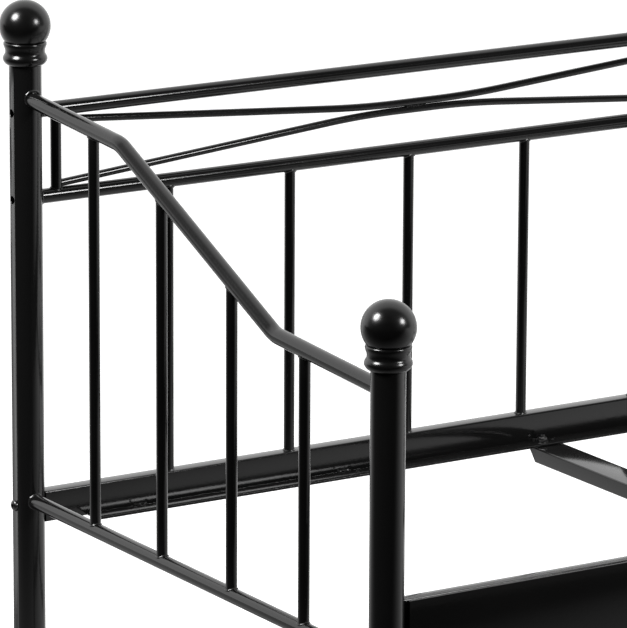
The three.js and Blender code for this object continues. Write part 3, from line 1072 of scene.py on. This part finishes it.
class EndPanel(Assembly):
    """The sloping arm tube, the bottom rail and the spindles of one end."""

    front_run: float = 0.226
    back_run: float = 0.220
    bend_radius: float = 0.050
    front_level: float = 0.305
    front_rise: float = 0.0133
    back_level: float = 0.484
    back_fall: float = 0.0155
    spindles: int = 4

    def __init__(self, finishes: Finishes, side: str) -> None:
        """Reads the end's place.

        Args:
            finishes: Every finish of the bed.
            side: left or right.
        """
        super().__init__(finishes)
        self.side = side
        self.rail = span(f"end_bottom_rail_{side}")
        self.arm = span(f"end_arm_tube_{side}")
        self.front = span(f"post_front_{side}")
        self.back = span(f"post_back_{side}")
        self.x = self.rail.mid.x
        self.radius = self.rail.size.z / 2
        self.arm_radius = self.arm.size.x / 2
        self.beads = WeldBeads(seed=11 if side == "left" else 12)

    def build(self) -> None:
        """Builds and dresses every piece of the end."""
        self.arm_tube()
        self.bottom_rail()
        self.upright_bars()
        self.add(self.beads.shell, f"weld_beads_end_{self.side}", "weld")

    def at(self, y: float, z: float) -> Vector:
        """A point in the plane of this end."""
        return Vector((self.x, y, z))

    def corners(self) -> list[Vector]:
        """Centre-line corners of the arm tube, from the front post to the back one."""
        front, back = self.front.mid.y, self.back.mid.y
        low = RAIL_DATUM + self.front_level
        high = RAIL_DATUM + self.back_level
        return [self.at(front, low), self.at(front + self.front_run, low + self.front_rise),
                self.at(back - self.back_run, high - self.back_fall), self.at(back, high)]

    def level(self, y: float) -> tuple[float, float]:
        """Height and slope of the arm's centre line.

        Args:
            y: Place along the arm.

        Returns:
            Height and slope.
        """
        path = rounded_path(self.corners(), self.bend_radius, 24)
        for before, after in zip(path, path[1:]):
            if before.y <= y <= after.y:
                slope = (after.z - before.z) / (after.y - before.y)
                return before.z + slope * (y - before.y), slope
        return path[-1].z, 0.0

    def arm_tube(self) -> None:
        """The bent tube that makes the arm."""
        path = rounded_path(self.corners(), self.bend_radius, 14)
        post = self.front.size.x / 2
        start = path[0] + (path[1] - path[0]).normalized() * (post - BITE)
        end = path[-1] + (path[-2] - path[-1]).normalized() * (post - BITE)
        shell = Shell()
        shell.sweep(even_path([start] + path[1:-1] + [end], 0.03), self.arm_radius, 40)
        self.add(shell, f"arm_tube_{self.side}", "coat", [f"end_arm_tube_{self.side}"])
        for place, away, z in ((self.front, Y_AXIS, path[0].z), (self.back, -Y_AXIS, path[-1].z)):
            hub = self.at(place.mid.y, z + 0.0012)
            self.beads.round_post(hub, away, post, self.arm_radius)

    def bottom_rail(self) -> None:
        """The straight tube under the spindles."""
        post = self.front.size.x / 2
        start = self.at(self.front.mid.y + post - BITE, self.rail.mid.z)
        end = self.at(self.back.mid.y - post + BITE, self.rail.mid.z)
        self.straight(f"bottom_rail_{self.side}", f"end_bottom_rail_{self.side}", [start, end], self.radius, 40)
        for place, away in ((self.front, Y_AXIS), (self.back, -Y_AXIS)):
            hub = self.at(place.mid.y, self.rail.mid.z)
            self.beads.round_post(hub, away, post, self.radius)

    def upright_bars(self) -> None:
        """The spindles with a bead at each end."""
        for number in range(1, self.spindles + 1):
            node = f"end_spindle_{self.side}_{number}"
            place = span(node)
            y, radius = place.mid.y, place.size.x / 2
            height, slope = self.level(y)
            foot = self.at(y, self.rail.mid.z + self.radius - BITE)
            head = self.at(y, height - self.arm_radius * 0.4)
            self.straight(f"end_bar_{self.side}_{number}", node, [foot, head], radius)
            rail = self.at(y, self.rail.mid.z)
            self.beads.seam(saddle(rail, Z_AXIS, Y_AXIS, self.radius, radius))
            seam = []
            for point in saddle(self.at(y, 0.0), -Z_AXIS, Y_AXIS, self.arm_radius, radius):
                lift = height + slope * (point.y - y)
                seam.append(Vector((point.x, point.y, lift + point.z * math.sqrt(1 + slope * slope))))
            self.beads.seam(seam)


class BackPanel(Assembly):
    """The two round rails, the spindles, the wire work and the rectangular rail of the back."""

    spindles: int = 11
    wire_radius: float = 0.0045
    pinch_flat: float = 0.056
    pinch_curve: float = 0.098
    pinch_share: float = 0.52
    stitch_first: float = 0.146
    stitch_pitch: float = 0.288

    def __init__(self, finishes: Finishes) -> None:
        """Reads the back's place.

        Args:
            finishes: Every finish of the bed.
        """
        super().__init__(finishes)
        self.top = span("back_top_rail")
        self.mid = span("back_mid_rail")
        self.rail = span("back_rail")
        self.left = span("post_back_left")
        self.right = span("post_back_right")
        self.y = self.top.mid.y
        self.radius = self.top.size.z / 2
        self.post = self.left.size.x / 2
        self.beads = WeldBeads(seed=21)

    def build(self) -> None:
        """Builds and dresses every piece of the back."""
        self.round_rails()
        self.spindle_bars()
        self.uprights()
        for side in SIDES:
            self.wire_pair(side)
        self.long_rail()
        self.stitches()
        self.add(self.beads.shell, "weld_beads_back", "weld")

    def round_rails(self) -> None:
        """The top and middle rails between the back posts."""
        for label, place in (("top", self.top), ("mid", self.mid)):
            start = Vector((self.left.mid.x + self.post - BITE, self.y, place.mid.z))
            end = Vector((self.right.mid.x - self.post + BITE, self.y, place.mid.z))
            self.straight(f"round_rail_{label}", f"back_{label}_rail", [start, end], self.radius, 40, 0.04)
            for post, away in ((self.left, X_AXIS), (self.right, -X_AXIS)):
                hub = Vector((post.mid.x, self.y, place.mid.z))
                self.beads.round_post(hub, away, self.post, self.radius)

    def spindle_bars(self) -> None:
        """The spindles between the middle rail and the rectangular rail."""
        for number in range(1, self.spindles + 1):
            node = f"back_spindle_{number}"
            place = span(node)
            x, radius = place.mid.x, place.size.x / 2
            foot = Vector((x, self.y, self.rail.hi.z - 0.001))
            head = Vector((x, self.y, self.mid.mid.z - self.radius + BITE))
            self.straight(f"back_bar_{number}", node, [foot, head], radius)
            self.beads.seam(saddle(Vector((x, self.y, self.rail.hi.z)), Z_AXIS, X_AXIS, 0.0, radius), 1.15)
            self.beads.seam(saddle(Vector((x, self.y, self.mid.mid.z)), -Z_AXIS, X_AXIS, self.radius, radius))

    def uprights(self) -> None:
        """The three short bars between the two round rails."""
        for label in ("left", "centre", "right"):
            node = f"back_upright_{label}"
            place = span(node)
            x, radius = place.mid.x, place.size.x / 2
            foot = Vector((x, self.y, self.mid.mid.z + self.radius - BITE))
            head = Vector((x, self.y, self.top.mid.z - self.radius + BITE))
            self.straight(f"short_bar_{label}", node, [foot, head], radius)
            for z, away in ((self.mid.mid.z, Z_AXIS), (self.top.mid.z, -Z_AXIS)):
                self.beads.seam(saddle(Vector((x, self.y, z)), away, X_AXIS, self.radius, radius))

    def wire_path(self, start: float, end: float, z_end: float, z_pinch: float) -> list[Vector]:
        """Centre line of one wire of an hourglass.

        Args:
            start: X of its left end.
            end: X of its right end.
            z_end: Height at both ends.
            z_pinch: Height at the pinch.

        Returns:
            Points of the centre line.
        """
        middle = (start + end) / 2
        flat = middle - self.pinch_flat / 2
        slope = (z_pinch - z_end) / (flat - self.pinch_curve / 2 - start)
        half = [Vector((start, self.y, z_end))]
        for k in range(15):
            left = self.pinch_curve * (1 - k / 14)
            half.append(Vector((flat - left, self.y, z_pinch - slope * left * left / (2 * self.pinch_curve))))
        return half + [Vector((2 * middle - p.x, p.y, p.z)) for p in reversed(half)]

    def wire_pair(self, side: str) -> None:
        """Two wires that lean together and are welded side by side.

        Args:
            side: left or right.
        """
        place = span(f"back_wire_pair_{side}")
        start, end = place.lo.x - 0.001, place.hi.x + 0.001
        pinch = self.mid.mid.z + self.pinch_share * (self.top.mid.z - self.mid.mid.z)
        apart = self.wire_radius + GAP / 2
        clear = self.radius + self.wire_radius
        shell = Shell()
        for z_end, z_pinch in ((self.top.mid.z - clear, pinch + apart), (self.mid.mid.z + clear, pinch - apart)):
            shell.sweep(even_path(self.wire_path(start, end, z_end, z_pinch), 0.03), self.wire_radius, 24)
            for x, inward in ((start, 1), (end, -1)):
                spot = Vector((x + inward * 0.004, self.y, z_end))
                self.beads.lump(spot, Vector((0.0045, 0.0035, 0.0030)))
        self.add(shell, f"hourglass_wires_{side}", "coat", [f"back_wire_pair_{side}"])
        middle = (start + end) / 2
        for depth in (-1, 1):
            seat = Vector((middle - 0.013, self.y + depth * 0.0018, pinch))
            self.beads.stitch(seat, X_AXIS, 0.026, 0.0018)

    def long_rail(self) -> None:
        """The rectangular rail with the ledge strip along its inner face."""
        face = self.rail.lo.y + LEDGE_WIDTH
        reach = self.right.mid.x - self.post + 0.001
        shell = Shell()
        low = Vector((-reach, face, self.rail.lo.z))
        high = Vector((reach, self.rail.hi.y, self.rail.hi.z))
        shell.box_tube(0, low, high, SHEET, 0.0022)
        shell.ledge(self.right.mid.x - LEDGE_INSET, face, face - LEDGE_WIDTH, self.rail.lo.z)
        self.add(shell, "rectangular_back_rail", "coat", ["back_rail"])

    def stitches(self) -> None:
        """Stitch welds in the corner between the ledge strip and the rail, and the odd drop of spatter."""
        face = self.rail.lo.y + LEDGE_WIDTH
        top = self.rail.lo.z + LEDGE_THICK
        x = self.left.mid.x + self.stitch_first
        while x < -self.left.mid.x - self.stitch_first + 0.001:
            self.beads.stitch(Vector((x - 0.007, face - 0.0006, top + 0.0006)), X_AXIS, 0.014, 0.0020)
            self.beads.lump(Vector((x - 0.013, face, top + 0.0062)), Vector((0.0016, 0.0011, 0.0014)))
            self.beads.lump(Vector((x + 0.015, face - 0.010, top)), Vector((0.0022, 0.0018, 0.0011)))
            x += self.stitch_pitch


class FrontRail(Assembly):
    """The tall front rail: a folded face panel on a box tube, with a ledge behind."""

    panel: float = 0.0026
    groove: float = 0.0030
    groove_depth: float = 0.0080
    end_gap: float = 0.0042

    def build(self) -> None:
        """Builds and dresses the front rail."""
        rail = span("front_rail")
        post = span("post_front_right")
        reach = post.mid.x - post.size.x / 2 + 0.001
        inner = rail.hi.y - LEDGE_WIDTH
        shell = Shell()
        low = Vector((-reach, rail.lo.y + self.panel + self.groove, rail.lo.z))
        shell.box_tube(0, low, Vector((reach, inner, rail.hi.z)), SHEET, 0.0016)
        shell.ledge(post.mid.x - LEDGE_INSET, inner, inner + LEDGE_WIDTH, span("back_rail").lo.z)
        self.add(shell, "front_rail_tube", "coat", ["front_rail"])
        face = Shell()
        span_x = post.mid.x - post.size.x / 2 - self.end_gap
        face.bar(Vector((-span_x, rail.lo.y, rail.lo.z)),
                 Vector((span_x, rail.lo.y + self.panel, rail.hi.z - 0.0006)), 0.0005)
        face.bar(Vector((-span_x, rail.lo.y + self.panel * 0.5, rail.lo.z + 0.0002)),
                 Vector((span_x, low.y + 0.0004, rail.hi.z - self.groove_depth)), 0.0002, 1)
        self.add(face, "front_rail_panel", "coat")


@dataclass
class FastenerPlan:
    """Sizes of the small bolts, nuts and washers."""

    washer_radius: float = 0.0075
    washer_thick: float = 0.0012
    nut_radius: float = 0.0060
    nut_height: float = 0.0045
    stud_radius: float = 0.0030
    stud_height: float = 0.0075
    inset: float = 0.0135
    shift: float = 0.003


def hex_nut(shell: Shell, seat: Vector, plan: FastenerPlan, turn: float) -> None:
    """Adds a washer, a chamfered nut and the end of its bolt, standing up.

    Args:
        shell: Where the nut goes.
        seat: Point on the surface under it.
        plan: Sizes.
        turn: Angle of the nut in radians.
    """
    shell.turn([(0.0, 0.0), (plan.washer_radius, 0.0), (plan.washer_radius, plan.washer_thick),
                (0.0, plan.washer_thick)], seat, Z_AXIS, 32)
    base = seat + Z_AXIS * plan.washer_thick
    rings = []
    for scale, height in ((0.0, 0.0), (0.94, 0.0), (1.0, 0.0006), (1.0, plan.nut_height - 0.0006),
                          (0.94, plan.nut_height), (0.0, plan.nut_height)):
        if scale == 0.0:
            rings.append([base + Z_AXIS * height])
            continue
        angles = [turn + math.pi * k / 3 for k in range(6)]
        rings.append([base + Vector((math.cos(a), math.sin(a), 0)) * plan.nut_radius * scale + Z_AXIS * height
                      for a in angles])
    shell.loft(rings)
    shell.turn([(0.0, 0.0), (plan.stud_radius, 0.0), (plan.stud_radius, plan.stud_height - 0.0006),
                (plan.stud_radius - 0.0006, plan.stud_height), (0.0, plan.stud_height)], base, Z_AXIS, 24)


class CrossTubes(Assembly):
    """Flat cross tubes bolted up under a pair of ledges."""

    def __init__(self, finishes: Finishes, prefix: str, body: Body, ledges: tuple[str, str]) -> None:
        """Reads the level's place.

        Args:
            finishes: Every finish of the bed.
            prefix: Start of the node names.
            body: The body that the tubes ride on.
            ledges: Nodes of the front and back rails.
        """
        super().__init__(finishes)
        self.body = body.value
        self.prefix = prefix
        self.front, self.back = span(ledges[0]), span(ledges[1])
        self.plan = FastenerPlan()

    def build(self) -> None:
        """Builds and dresses the tubes and their nuts."""
        nuts = Shell()
        for number, side in enumerate(SIDES):
            node = f"{self.prefix}cross_tube_{side}"
            place = span(node)
            shell = Shell()
            shell.box_tube(1, place.lo, place.hi, SHEET, 0.0018, place.size.z - 0.004)
            self.add(shell, f"{self.prefix}flat_tube_{side}", "coat", [node])
            ledge_top = place.hi.z + GAP + LEDGE_THICK
            for turn, y in ((0.4, self.front.hi.y - self.plan.inset), (0.15, self.back.lo.y + self.plan.inset)):
                hex_nut(nuts, Vector((place.mid.x - self.plan.shift, y, ledge_top)), self.plan, turn + 0.3 * number)
        self.add(nuts, f"{self.prefix}tube_nuts", "bolt")


class TrundleFrame(Assembly):
    """The four rails of the trundle, their ledges, end caps and corner welds."""

    body = Body.TRUNDLE.value
    depth: float = 0.020
    ledge_rise: float = 0.012

    def build(self) -> None:
        """Builds and dresses the trundle's frame."""
        beads = WeldBeads(seed=31)
        caps = Shell()
        for label, toward in (("front", 1.0), ("back", -1.0)):
            self.long_rail(label, toward, caps)
        for side in SIDES:
            place = span(f"trundle_end_rail_{side}")
            shell = Shell()
            shell.box_tube(1, place.lo - Y_AXIS * GAP, place.hi + Y_AXIS * GAP, SHEET, 0.0022)
            self.add(shell, f"trundle_end_tube_{side}", "coat", [f"trundle_end_rail_{side}"])
            for y in (place.lo.y, place.hi.y):
                for x in (place.lo.x, place.hi.x):
                    beads.stitch(Vector((x, y, place.lo.z + 0.003)), Z_AXIS, place.size.z - 0.006, 0.0015)
                top = Vector((place.lo.x + 0.001, y, place.hi.z))
                beads.stitch(top, X_AXIS, place.size.x - 0.002, 0.0015)
        self.add(beads.shell, "weld_beads_trundle", "weld")
        self.add(caps, "trundle_end_caps", "glide")

    def long_rail(self, label: str, toward: float, caps: Shell) -> None:
        """One long rail with its ledge and end caps.

        Args:
            label: front or back.
            toward: +1 or -1, the way its ledge points.
            caps: Where its end caps go.
        """
        node = f"trundle_{label}_rail"
        place = span(node)
        outer = place.lo.y if toward > 0 else place.hi.y
        face = outer + toward * self.depth
        low = Vector((place.lo.x, min(outer, face), place.lo.z))
        high = Vector((place.hi.x, max(outer, face), place.hi.z))
        shell = Shell()
        shell.box_tube(0, low, high, SHEET, 0.0022)
        far = place.hi.y if toward > 0 else place.lo.y
        bottom = place.lo.z + self.ledge_rise
        reach = place.hi.x - self.depth - 0.0005
        shell.ledge(reach, face, far, bottom)
        self.add(shell, f"trundle_long_tube_{label}", "coat", [node])
        for x, out in ((place.lo.x, -1), (place.hi.x, 1)):
            near, tip = x - out * 0.004, x + out * 0.0022
            inset = SHEET * 0.4
            caps.bar(Vector((min(near, tip), low.y + inset, low.z + inset)),
                     Vector((max(near, tip), high.y - inset, high.z - inset)), 0.0011, 3)


class Caster(Assembly):
    """A fixed caster: pressed bracket, riveted axle, core and tread."""

    body = Body.TRUNDLE.value
    sheet: float = 0.0025
    bore: float = 0.0041
    tread: float = 0.0052
    ribs: int = 8
    nose: float = 0.0098
    shaft: float = 0.004
    hub_radius: float = 0.008
    half_width: float = 0.010
    half_web: float = 0.0028

    def __init__(self, finishes: Finishes, depth: str, side: str) -> None:
        """Reads the caster's place.

        Args:
            finishes: Every finish of the bed.
            depth: front or back.
            side: left or right.
        """
        super().__init__(finishes)
        self.tag = f"{depth}_{side}"
        self.bracket_place = span(f"caster_bracket_{self.tag}")
        self.wheel_place = span(f"caster_wheel_{self.tag}")
        self.hub = self.wheel_place.mid
        self.radius = self.wheel_place.size.z / 2

    def build(self) -> None:
        """Builds and dresses the caster."""
        self.bracket()
        self.body = f"wheel_{self.tag}"
        self.wheel()

    def bracket(self) -> None:
        """The bracket's top plate, cheeks and axle rivet."""
        place = self.bracket_place
        outer = place.size.x / 2 - 0.0015
        inner = outer - self.sheet
        half = place.size.y / 2
        top = place.hi.z
        shell = Shell()
        shell.bar(Vector((self.hub.x - outer, self.hub.y - half, top - self.sheet)),
                  Vector((self.hub.x + outer, self.hub.y + half, top)), 0.0005)
        for sign in (-1, 1):
            x = self.hub.x + (inner if sign > 0 else -outer)
            nose = [Vector((x, self.hub.y + self.nose * math.cos(a), self.hub.z + self.nose * math.sin(a)))
                    for a in [math.radians(d) for d in range(-156, -23, 12)]]
            shoulder = [Vector((x, self.hub.y + half, top - self.sheet * 0.5)),
                        Vector((x, self.hub.y - half, top - self.sheet * 0.5))]
            shell.plate(nose + shoulder, X_AXIS * self.sheet, 0.0004)
        tip = place.size.x / 2
        shaft = self.shaft
        rivet = [(0.0, -tip), (shaft * 0.6, -tip), (shaft * 0.95, -tip + 0.0005), (shaft, -outer), (shaft, outer),
                 (shaft * 0.95, tip - 0.0005), (shaft * 0.6, tip), (0.0, tip)]
        shell.turn(rivet, self.hub, X_AXIS, 32)
        self.add(shell, f"caster_yoke_{self.tag}", "zinc", [f"caster_bracket_{self.tag}"])

    def wheel(self) -> None:
        """The ribbed core and the tread round it."""
        half = self.wheel_place.size.x / 2
        wide = self.half_width
        rim = self.radius - self.tread
        hub, web = self.hub_radius, self.half_web
        core = Shell()
        core.turn([(self.bore, -half), (hub - 0.0005, -half), (hub, -half + 0.0005), (hub, -web), (rim - 0.003, -web),
                   (rim - 0.0025, -wide + 0.0006), (rim, -wide + 0.0006), (rim, wide - 0.0006),
                   (rim - 0.0025, wide - 0.0006), (rim - 0.003, web), (hub, web), (hub, half - 0.0005),
                   (hub - 0.0005, half), (self.bore, half)], self.hub, X_AXIS, 56, True)
        for k in range(self.ribs):
            angle = 2 * math.pi * k / self.ribs
            out = Vector((0.0, math.cos(angle), math.sin(angle)))
            side = X_AXIS.cross(out)
            corners = [self.hub + out * r + side * s - X_AXIS * (wide - 0.0014)
                       for r, s in ((hub - 0.001, -0.0008), (rim - 0.002, -0.0008),
                                    (rim - 0.002, 0.0008), (hub - 0.001, 0.0008))]
            core.plate(corners, X_AXIS * 2 * (wide - 0.0014), 0.0003)
        self.add(core, f"wheel_core_{self.tag}", "core", [f"caster_wheel_{self.tag}"])
        profile = [(rim - 0.0002, -wide + 0.0004), (rim + 0.0016, -wide)]
        for k in range(9):
            angle = math.radians(-78 + 156 * k / 8)
            profile.append((self.radius - 0.0022 * (1 - math.cos(angle)), wide * math.sin(angle) * 0.985))
        profile += [(rim + 0.0016, wide), (rim - 0.0002, wide - 0.0004)]
        tread = Shell()
        tread.turn(profile, self.hub, X_AXIS, 72, True)
        self.add(tread, f"wheel_tread_{self.tag}", "tread", [])


# ---------------------------------------------------------------------------
# studio
# ---------------------------------------------------------------------------


@dataclass(frozen=True)
class Lamp:
    """A soft box aimed at the bed's near end."""

    name: str
    toward: Vector
    distance: float
    size: float
    power: float


@dataclass
class Studio:
    """Floor, surroundings, soft boxes and camera."""

    heading: float = 32.123
    tilt: float = 13.888
    roll: float = 0.267
    lens: float = 318.08
    offset: Vector = field(default_factory=lambda: Vector((-3.07401, -4.74735, 1.78746)))
    backdrop: float = 1.38
    sides: float = 0.11
    left_wall: float = 0.20
    left_way: Vector = field(default_factory=lambda: Vector((-0.516, 0.822, 0.238)))
    dim: float = 0.02
    floor_reach: float = 60.0

    def build(self) -> None:
        """Sets up the whole studio."""
        self.floor()
        self.surroundings()
        self.camera()
        self.lamps()
        bpy.context.scene.view_settings.view_transform = "Standard"

    def axes(self) -> tuple[Vector, Vector, Vector]:
        """Camera directions.

        Returns:
            Right, up and forward.
        """
        yaw, tilt, roll = (math.radians(a) for a in (self.heading, self.tilt, self.roll))
        forward = Vector((math.sin(yaw) * math.cos(tilt), math.cos(yaw) * math.cos(tilt), -math.sin(tilt)))
        right = Vector((math.cos(yaw), -math.sin(yaw), 0.0))
        up = right.cross(forward)
        return (right * math.cos(roll) + up * math.sin(roll), up * math.cos(roll) - right * math.sin(roll), forward)

    def camera(self) -> None:
        """The camera off the near end of the bed."""
        right, up, forward = self.axes()
        data = bpy.data.cameras.new("studio_camera")
        data.lens = self.lens
        data.sensor_width = 36.0
        data.clip_end = 200.0
        camera = bpy.data.objects.new("studio_camera", data)
        post = span("post_front_left").mid
        camera.matrix_world = Matrix.Translation(Vector((post.x, post.y, RAIL_DATUM)) + self.offset) @ Matrix(
            (right, up, -forward)).transposed().to_4x4()
        bpy.context.scene.collection.objects.link(camera)
        bpy.context.scene.camera = camera

    def floor(self) -> None:
        """A seamless pale floor."""
        shell = Shell()
        reach, steps = self.floor_reach, 24
        rows = []
        for i in range(steps + 1):
            y = reach * (2 * i / steps - 1)
            rows.append(shell.ring(Vector((reach * (2 * k / steps - 1), y, 0.0)) for k in range(steps + 1)))
        for first, second in zip(rows, rows[1:]):
            for k in range(steps):
                shell.faces.append((first[k], first[k + 1], second[k + 1], second[k]))
        floor = shell.object("pale_floor")
        floor.data.materials.append(PalePaper().make())

    def surroundings(self) -> None:
        """A pale room that is brighter behind the bed than in front of it."""
        world = bpy.data.worlds.new("studio_room")
        bpy.context.scene.world = world
        world.use_nodes = True
        nodes = Nodes(world.node_tree)
        nodes.tree.nodes.clear()
        forward = self.axes()[2]
        flat = Vector((forward.x, forward.y, 0.0)).normalized()
        right_hand = flat * 0.866 + Vector((flat.y, -flat.x, 0.0)) * 0.5
        ways = nodes.node("TexCoord").outputs["Generated"]
        patches = ((flat, -0.05, 0.35, self.backdrop), (right_hand, -0.72, -0.12, self.sides),
                   (self.left_way, 0.55, 0.92, self.left_wall))
        first, *others = (nodes.along(ways, way, start, end, 0.0, level) for way, start, end, level in patches)
        for more in [*others, self.dim]:
            first = nodes.calc("ADD", first, more)
        room = nodes.node("Background")
        nodes.join(first, room.inputs["Strength"])
        plain = nodes.node("Background")
        plain.inputs["Strength"].default_value = 1.0
        plain.inputs["Color"].default_value = (1.0, 1.0, 1.0, 1.0)
        nodes.join(nodes.for_camera(room, plain).outputs[0], nodes.node("OutputWorld").inputs["Surface"])

    def lamps(self) -> None:
        """Soft boxes to the left and to the front."""
        right, up, forward = self.axes()
        key = right * -0.668 + up * 0.582 - forward * 0.465
        fill = right * 0.743 + up * 0.354 - forward * 0.567
        aim = span("post_front_left").mid + Vector((0.3, 0.35, 0.2))
        for lamp in (Lamp("left_soft_box", key, 3.6, 1.45, 165.0), Lamp("front_soft_box", fill, 3.6, 1.0, 68.0)):
            data = bpy.data.lights.new(lamp.name, "AREA")
            data.shape = "DISK"
            data.size = lamp.size
            data.energy = lamp.power
            light = bpy.data.objects.new(lamp.name, data)
            direction = lamp.toward.normalized()
            light.location = aim + direction * lamp.distance
            light.rotation_euler = direction.to_track_quat("Z", "Y").to_euler()
            bpy.context.scene.collection.objects.link(light)


# ---------------------------------------------------------------------------

RAIL_DATUM = span("end_bottom_rail_left").mid.z


def main() -> None:
    """Builds every sub-assembly in order and reports each piece."""
    logging.basicConfig(level=logging.INFO, format="%(name)s: %(message)s")
    finishes = Finishes()
    plan = PostPlan()
    parts: list[Assembly] = [Post(finishes, depth, side, plan) for depth in DEPTHS for side in SIDES]
    parts += [EndPanel(finishes, side) for side in SIDES]
    parts += [BackPanel(finishes), FrontRail(finishes)]
    parts.append(CrossTubes(finishes, "", Body.DAYBED, ("front_rail", "back_rail")))
    parts.append(CrossTubes(finishes, "trundle_", Body.TRUNDLE, ("trundle_front_rail", "trundle_back_rail")))
    parts.append(TrundleFrame(finishes))
    parts += [Caster(finishes, depth, side) for depth in DEPTHS for side in SIDES]
    for part in parts:
        part.build()
    Studio().build()


if __name__ == "__main__":
    main()
